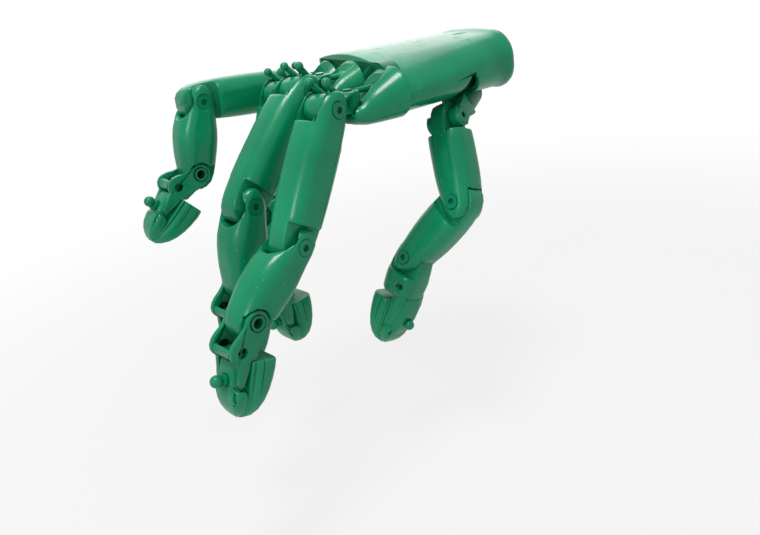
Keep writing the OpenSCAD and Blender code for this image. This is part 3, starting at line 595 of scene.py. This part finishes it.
knuckle = {
    "barrel": 5, "half": 4.1, "reach": 11, "waist": 3.7, "waistCut": 5.2, "bore": 1.55,
    "guideFoot": (6.2, 2.6, 1), "guideTilt": 42, "guideSpread": 8, "guideLength": 10.4, "guideRadius": 1.0, "ball": 1.5, "edge": 0.35,
}


def buildKnuckle(form):
    # Barrel, neck and round root, with two ball-ended guides standing on the neck.
    half, reach = form["half"], form["reach"]
    body = rodTool(form["barrel"], 2 * half, (0, 0, 0), sides=56)
    combine(body, boxTool((0, 0.08 - half, -form["waist"]), (reach, half - 0.08, form["waist"])), "UNION")
    combine(body, rodTool(half - 0.15, 2 * form["waist"] - 0.1, (reach, 0, 0), along="Z", sides=48), "UNION")
    for side in (-1, 1):
        combine(body, rodTool(2.4, 2 * half + 2, (form["waistCut"] + 1.4, 0, side * (form["waist"] + 1.5)), sides=40))
    softEdges(body, form["edge"])
    combine(body, rodTool(form["bore"], 20, (0, 0, 0), sides=32))
    combine(body, rodTool(form["bore"], 20, (reach, 0, 0), along="Z", sides=32))
    for side in (-1, 1):
        guide = rodTool(form["guideRadius"], form["guideLength"], (0, 0, form["guideLength"] / 2), along="Z", sides=24)
        combine(guide, ballTool((0, 0, form["guideLength"]), (form["ball"],) * 3), "UNION")
        combine(guide, rodTool(form["guideRadius"] * 1.5, 2.2, (0, 0, 1), along="Z", sides=24), "UNION")
        footX, footY, footZ = form["guideFoot"]
        turn = Euler((-side * math.radians(form["guideSpread"]), -math.radians(form["guideTilt"]), 0)).to_matrix().to_4x4()
        guide.data.transform(Matrix.Translation((footX, side * footY, footZ)) @ turn)
        combine(body, guide, "UNION")
    bpy.ops.object.select_all(action="DESELECT")
    onlyThis(body)
    bpy.ops.object.shade_smooth_by_angle(angle=math.radians(32))
    return body


knuckleForm = buildKnuckle(knuckle)
for finger in fingerTurn:
    here = Vector(joints[finger + "_knuckle_flex"]["pos_m"])
    there = Vector(joints[finger + "_swing"]["pos_m"])
    along = (there - here).normalized()
    across = -Vector(joints[finger + "_knuckle_flex"]["axis"]).normalized()
    turn = Matrix((along, across, along.cross(across))).transposed().to_4x4()
    placed(knuckleForm, finger + "KnuckleBlock", Matrix.Translation(here) @ turn, finger + "_knuckle", [finger + "_knuckle"], "link_green")
discard(knuckleForm)
print("knuckles dressed")

yoke = {
    "lean": 50, "ear": 3.9, "arm": (3.25, 6.9), "collar": (7.9, 10.7), "collarRadius": 5.6, "spindle": 3.3, "spindleEnd": 21.5,
    "cheek": [(0, 3.7), (4.4, 3.2), (7.9, 4.3), (9.5, 4.3), (9.5, -4.3), (7.9, -4.3), (4.4, -3.2), (0, -3.7)],
    "boss": 3.1, "bossEnd": 7.45, "bore": 2.1, "edge": 0.35,
}


def buildYoke(form):
    # Fork that carries the thumb, on a collar that turns in the palm.
    near, far = form["collar"]
    body = rodTool(form["collarRadius"], far - near, ((near + far) / 2, 0, 0), along="X", sides=56)
    combine(body, rodTool(form["spindle"], form["spindleEnd"] - near, ((form["spindleEnd"] + near) / 2, 0, 0), along="X", sides=40), "UNION")
    low, high = form["arm"]
    for side in (-1, 1):
        start, end = sorted((side * low, side * high))
        cheek = outlineTool(form["cheek"], start, end)
        combine(cheek, rodTool(form["ear"], high - low, (0, (start + end) / 2, 0), sides=48), "UNION")
        combine(cheek, rodTool(form["boss"], form["bossEnd"] - low, (0, side * (form["bossEnd"] + low) / 2, 0), sides=48), "UNION")
        combine(body, cheek, "UNION")
    combine(body, rodTool(form["bore"], 20, (0, 0, 0), sides=36))
    return softEdges(body, form["edge"])


# ---------------------------------------------------------------- thumb
places["thumb_proximal"] = linkPlace("thumb_root_flex", "thumb_middle_flex")
places["thumb_middle"] = linkPlace("thumb_middle_flex", "thumb_tip_flex")
thumbTipAt = Matrix.Translation(joints["thumb_tip_flex"]["pos_m"]) @ places["thumb_middle"].to_3x3().to_4x4()
places["thumb_tip"] = thumbTipAt @ Matrix.Rotation(math.radians(22.6), 4, "Y")
places["thumb_end"] = places["thumb_tip"] @ Matrix.Translation((-7 * mm, 0, 0))

yokeForm = buildYoke(yoke)
yokePlace = places["thumb_proximal"] @ Matrix.Rotation(math.radians(yoke["lean"]), 4, "Y")
placed(yokeForm, "thumbYoke", yokePlace, "thumb_base", ["thumb_base"], "link_green")
discard(yokeForm)

thumb = {
    "section": {"halfY": 7.5, "halfZ": 7.8, "corner": 5.7},
    "near": [(6.7, 0.8, 0.15, 0), (6.3, 0.85, 0.33, 0), (5.2, 0.9, 0.56, 0), (3, 0.93, 0.77, 0), (0, 0.96, 0.87, 0), (-4, 0.985, 0.955, 0),
             (-9, 1, 1, 0)],
    "proximalFar": [(-15, 1, 1, 0), (-20, 0.995, 0.99, 0), (-24, 0.96, 0.975, 0), (-28, 0.88, 0.965, 0), (-31, 0.82, 0.96, 0),
                    (-33.3, 0.76, 0.95, 0), (-35.2, 0.6, 0.93, 0), (-36.5, 0.37, 0.9, 0), (-37.05, 0.13, 0.87, 0)],
    "middleFar": [(-14, 1.01, 1, 0), (-19, 1, 0.97, 0), (-23, 0.99, 0.91, 0), (-27, 0.985, 0.83, 0), (-30, 0.975, 0.79, 0),
                  (-32.5, 0.95, 0.71, 0), (-34.5, 0.92, 0.54, 0), (-35.7, 0.88, 0.31, 0), (-36.1, 0.85, 0.12, 0)],
    "barrelFar": [(-12, 1, 0.97, 0), (-14.6, 0.99, 0.93, 0), (-15.6, 0.94, 0.88, 0)],
    "flat": 7.5, "tongue": 4.1, "slot": 4.4, "room": 7.3, "rootTongue": 2.85, "proximalLength": 31, "middleLength": 30, "edge": 0.42,
}


def buildThumbProximal(form):
    body = loftedBody(form["section"], form["near"] + form["proximalFar"])
    combine(body, boxTool((-60, -form["flat"], -form["flat"]), (10, form["flat"], form["flat"])), "INTERSECT")
    for side in (-1, 1):
        low, high = sorted((side * form["rootTongue"], side * 9))
        combine(body, boxTool((-5, low, -9), (9, high, 9)))
        combine(body, outlineTool([(-4.9, -9), (-4.9, -6.4), (-8.2, -9)], low, high))
        combine(body, outlineTool([(-4.9, 6.4), (-4.9, 9), (-8.2, 9)], low, high))
    far = -form["proximalLength"]
    combine(body, boxTool((-60, -9, -form["slot"]), (far, 9, form["slot"])))
    combine(body, rodTool(form["room"], 2 * form["slot"], (far, 0, 0), along="Z", sides=64))
    combine(body, rodTool(2.62, 20, (far, 0, 0), along="Z", sides=40))
    return softEdges(body, form["edge"])


def buildThumbMiddle(form):
    body = loftedBody(form["section"], form["near"] + form["middleFar"])
    combine(body, boxTool((-60, -form["flat"], -9), (10, form["flat"], 9)), "INTERSECT")
    far = -form["middleLength"]
    for side in (-1, 1):
        low, high = sorted((side * form["tongue"], side * 9))
        combine(body, boxTool((-6.6, low, -9), (9, high, 9)))
    combine(body, boxTool((-60, -form["slot"], -9), (far, form["slot"], 9)))
    combine(body, rodTool(form["room"], 2 * form["slot"], (far, 0, 0), sides=64))
    combine(body, outlineTool([(far, 4), (far + 7.5, 12), (-60, 12), (-60, 4)], -form["slot"], form["slot"]))
    combine(body, rodTool(2.62, 20, (far, 0, 0), sides=40))
    return softEdges(body, form["edge"])


def buildThumbBarrel(form):
    # Short round body, a raised rim, and two rails toward the nail.
    body = loftedBody(form["section"], form["near"] + form["barrelFar"])
    combine(body, boxTool((-60, -form["flat"], -form["flat"]), (10, form["flat"], form["flat"])), "INTERSECT")
    for side in (-1, 1):
        low, high = sorted((side * form["tongue"], side * 9))
        combine(body, boxTool((-6.6, low, -9), (9, high, 9)))
        low, high = sorted((side * 4.4, side * 6.2))
        rail = [(-14.2, 6.2), (-19, 6.7), (-22.5, 5.9), (-26.4, 4.7), (-26.8, 3.6), (-26.4, 2.6), (-21, 1.25), (-14.2, 1.25)]
        combine(body, outlineTool(rail, low, high), "UNION")
    combine(body, rodTool(1.1, 20, (-11.2, 0, 3.2), sides=24))
    return softEdges(body, form["edge"])


for builder, name, node in ((buildThumbProximal, "thumbProximalShell", "thumb_proximal"), (buildThumbMiddle, "thumbMiddleShell", "thumb_middle")):
    form = builder(thumb)
    placed(form, name, places[node], node, [node], "link_green")
    discard(form)
barrelForm = buildThumbBarrel(thumb)
placed(barrelForm, "thumbBarrelShell", places["thumb_tip"], "thumb_tip", ["thumb_barrel"], "link_green")
discard(barrelForm)
thumbNail = [(-6.6, 0.5, 0.55, 2.6), (-7.3, 0.74, 0.9, 2.6), (-9, 0.87, 1.2, 2.5), (-12.5, 0.93, 1.4, 2.3), (-17, 0.93, 1.42, 1.9),
             (-21, 0.9, 1.28, 1.5), (-24.5, 0.8, 1.02, 1), (-27.5, 0.63, 0.72, 0.6), (-29.6, 0.42, 0.4, 0.2), (-30.6, 0.2, 0.16, 0)]
lobe = loftedBody({"halfY": 6.7, "halfZ": 4.2, "corner": 3.9, "segments": 16}, thumbNail)
combine(lobe, boxTool((-60, -9, -9), (0, 9, 0.75)))
combine(lobe, rodTool(2.1, 1.6, (nail["knobAt"], 0, 8.2), along="Z", sides=32))
combine(lobe, boxTool((-60, -3.1, 0.5), (-19.9, 3.1, 1.4)))
softEdges(lobe, 0.35)
placed(padForm, "thumbTipPad", places["thumb_end"], "thumb_tip", ["thumb_pad"], "pad_green")
placed(nailForm, "thumbTipCore", places["thumb_end"], "thumb_tip", ["thumb_core"], "link_green")
placed(lobe, "thumbNailCover", places["thumb_end"], "thumb_tip", [], "link_green")
discard(lobe)
discard(padForm)
discard(nailForm)
print("thumb dressed")

# ---------------------------------------------------------------- tip brackets
bracket = {
    "boss": 3.95, "hole": 2.42, "cup": 3.2, "wall": (4.4, 6.2), "linkHole": 1.6, "linkAt": (-8.8, 4.3),
    "plate": [(0.6, 3.9), (-1.4, 4.3), (-3.4, 5.5), (-5.4, 7.2), (-7, 8.1), (-8.8, 8.5), (-10.4, 8.1), (-11.6, 7.1), (-12.4, 5.9), (-15.5, 5.3),
              (-18.6, 4.9), (-19.5, 4.3), (-19.8, 3.5), (-19.3, 2.7), (-14.2, 1.3), (-11.5, 1.15), (-11.3, -0.4), (-10.6, -1), (-9.4, -1.2),
              (-6.4, -1.9), (-4, -3.1), (-2, -3.9), (0.6, -3.9)],
    "edge": 0.3,
}


def buildBracket(form):
    near, far = form["wall"]
    body = None
    for side in (-1, 1):
        low, high = sorted((side * near, side * far))
        cheek = outlineTool(form["plate"], low, high)
        combine(cheek, rodTool(form["boss"], high - low, (0, (low + high) / 2, 0), sides=56), "UNION")
        combine(cheek, rodTool(form["cup"], 1.4, (0, side * (far - 0.1), 0), sides=48,
                               topRadius=form["hole"]) if side < 0 else rodTool(form["hole"], 1.4, (0, far - 0.1, 0), sides=48, topRadius=form["cup"]))
        combine(cheek, rodTool(form["hole"], 20, (0, 0, 0), sides=48))
        combine(cheek, rodTool(form["linkHole"], 20, (form["linkAt"][0], 0, form["linkAt"][1]), sides=40))
        body = cheek if body is None else combine(body, cheek, "UNION")
    combine(body, outlineTool([(-8.4, 6.6), (-8, 7.6), (-9, 8.2), (-10.6, 7.7), (-11.4, 6.7), (-11.5, -0.3), (-9.4, -0.3), (-9.4, 6)], -near - 0.1, near + 0.1), "UNION")
    return softEdges(body, form["edge"])


bracketForm = buildBracket(bracket)
for finger in fingerTurn:
    placed(bracketForm, finger + "TipBracket", places[finger + "_tip"], finger + "_tip", [finger + "_bracket"], "link_green")
discard(bracketForm)
print("brackets dressed")


# ---------------------------------------------------------------- room, lamps and camera
room = {"drop": 0.045, "floorColour": (0.46, 0.47, 0.46), "reach": 30.0, "clearFrom": 0.16, "clearTo": 0.5}


def paleMaterial(name, colour):
    # White to the camera and in reflections, plain pale plaster to the light.
    material = bpy.data.materials.new(name)
    material.use_nodes = True
    tree = material.node_tree
    tree.nodes.clear()
    link = tree.links.new
    coords = addNode(tree, "ShaderNodeTexCoord", (-700, -100))
    cloud = addNode(tree, "ShaderNodeTexNoise", (-500, -100))
    cloud.inputs["Scale"].default_value = 4
    tint = addNode(tree, "ShaderNodeMix", (-250, -100), data_type="RGBA")
    tint.inputs["A"].default_value = (*colour, 1)
    tint.inputs["B"].default_value = (*[c * 0.98 for c in colour], 1)
    shader = addNode(tree, "ShaderNodeBsdfPrincipled", (0, -100))
    shader.inputs["Roughness"].default_value = 0.9
    out = addNode(tree, "ShaderNodeOutputMaterial", (700, 0))
    link(coords.outputs["Object"], cloud.inputs["Vector"])
    link(cloud.outputs["Fac"], tint.inputs["Factor"])
    link(tint.outputs["Result"], shader.inputs["Base Color"])
    glow = addNode(tree, "ShaderNodeEmission", (0, 150))
    apart = addNode(tree, "ShaderNodeSeparateXYZ", (-500, 400))
    flat = addNode(tree, "ShaderNodeCombineXYZ", (-350, 400))
    away = addNode(tree, "ShaderNodeVectorMath", (-200, 400), operation="LENGTH")
    clear = addNode(tree, "ShaderNodeMapRange", (0, 400), interpolation_type="SMOOTHSTEP")
    clear.inputs["From Min"].default_value = room["clearFrom"]
    clear.inputs["From Max"].default_value = room["clearTo"]
    clear.inputs["To Min"].default_value = 0.78
    ray = addNode(tree, "ShaderNodeLightPath", (-200, 650))
    seen = addNode(tree, "ShaderNodeMath", (0, 650), operation="MAXIMUM")
    amount = addNode(tree, "ShaderNodeMath", (200, 500), operation="MULTIPLY")
    choose = addNode(tree, "ShaderNodeMixShader", (450, 0))
    link(coords.outputs["Object"], apart.inputs["Vector"])
    link(apart.outputs["X"], flat.inputs["X"])
    link(apart.outputs["Y"], flat.inputs["Y"])
    link(flat.outputs["Vector"], away.inputs[0])
    link(away.outputs["Value"], clear.inputs["Value"])
    link(ray.outputs["Is Camera Ray"], seen.inputs[0])
    link(seen.outputs[0], amount.inputs[0])
    link(clear.outputs["Result"], amount.inputs[1])
    link(amount.outputs[0], choose.inputs["Fac"])
    link(shader.outputs["BSDF"], choose.inputs[1])
    link(glow.outputs["Emission"], choose.inputs[2])
    link(choose.outputs["Shader"], out.inputs["Surface"])
    return material


low, high = cadBox
bpy.ops.object.select_all(action="DESELECT")
bpy.ops.mesh.primitive_plane_add(size=2 * room["reach"], location=(0, 0, low.z - room["drop"]))
floor = bpy.context.object
floor.name = "floor"
bpy.ops.object.transform_apply(location=True, rotation=False, scale=False)
floor.data.materials.append(paleMaterial("paleFloor", room["floorColour"]))

world = bpy.data.worlds.new("studio")
bpy.context.scene.world = world
world.use_nodes = True
sky = world.node_tree
sky.nodes.clear()
skyOut = addNode(sky, "ShaderNodeOutputWorld", (600, 0))
plain = addNode(sky, "ShaderNodeBackground", (0, 100))
plain.inputs["Color"].default_value = (0.9, 0.95, 1, 1)
plain.inputs["Strength"].default_value = 0.12
white = addNode(sky, "ShaderNodeBackground", (0, -100))
white.inputs["Color"].default_value = (1, 1, 1, 1)
white.inputs["Strength"].default_value = 1
ray = addNode(sky, "ShaderNodeLightPath", (-300, 300))
seen = addNode(sky, "ShaderNodeMath", (0, 300), operation="MAXIMUM")
choose = addNode(sky, "ShaderNodeMixShader", (300, 0))
sky.links.new(ray.outputs["Is Camera Ray"], seen.inputs[0])
sky.links.new(seen.outputs[0], choose.inputs["Fac"])
sky.links.new(plain.outputs[0], choose.inputs[1])
sky.links.new(white.outputs[0], choose.inputs[2])
sky.links.new(choose.outputs[0], skyOut.inputs["Surface"])

lamps = {
    "topSoftbox": {"at": (-0.2, -0.15, 0.75), "size": 0.22, "power": 4.4},
    "sideSoftbox": {"at": (-0.7, -0.5, 0.3), "size": 0.2, "power": 1.5},
    "rearSoftbox": {"at": (0.2, 0.8, 0.42), "size": 1.0, "power": 4.2},
}
middle = Vector((low + high) / 2)
for name, lamp in lamps.items():
    bpy.ops.object.select_all(action="DESELECT")
    bpy.ops.object.light_add(type="AREA", location=lamp["at"])
    light = bpy.context.object
    light.name = name
    light.data.size = lamp["size"]
    light.data.energy = lamp["power"]
    light.rotation_euler = (middle - Vector(lamp["at"])).to_track_quat("-Z", "Y").to_euler()

shot = {
    "at": (-0.15675, -0.22907, 0.03153), "right": (0.87712, -0.46104, -0.13452), "down": (-0.28414, -0.27234, -0.91929),
    "ahead": (0.38719, 0.84455, -0.36988), "lens": 30.496, "shiftX": -0.01158, "shiftY": -0.03003,
}
bpy.ops.object.camera_add()
camera = bpy.context.object
camera.name = "camera"
right, down, ahead = (Vector(shot[side]) for side in ("right", "down", "ahead"))
turn = Matrix((right, -down, -ahead)).transposed()
camera.matrix_world = Matrix.Translation(shot["at"]) @ turn.to_4x4()
camera.data.sensor_width = 36
camera.data.lens = shot["lens"]
camera.data.shift_x = shot["shiftX"]
camera.data.shift_y = shot["shiftY"]
camera.data.clip_start = 0.01
bpy.context.scene.camera = camera
bpy.context.scene.view_settings.view_transform = "Standard"
print("room, lamps and camera set")
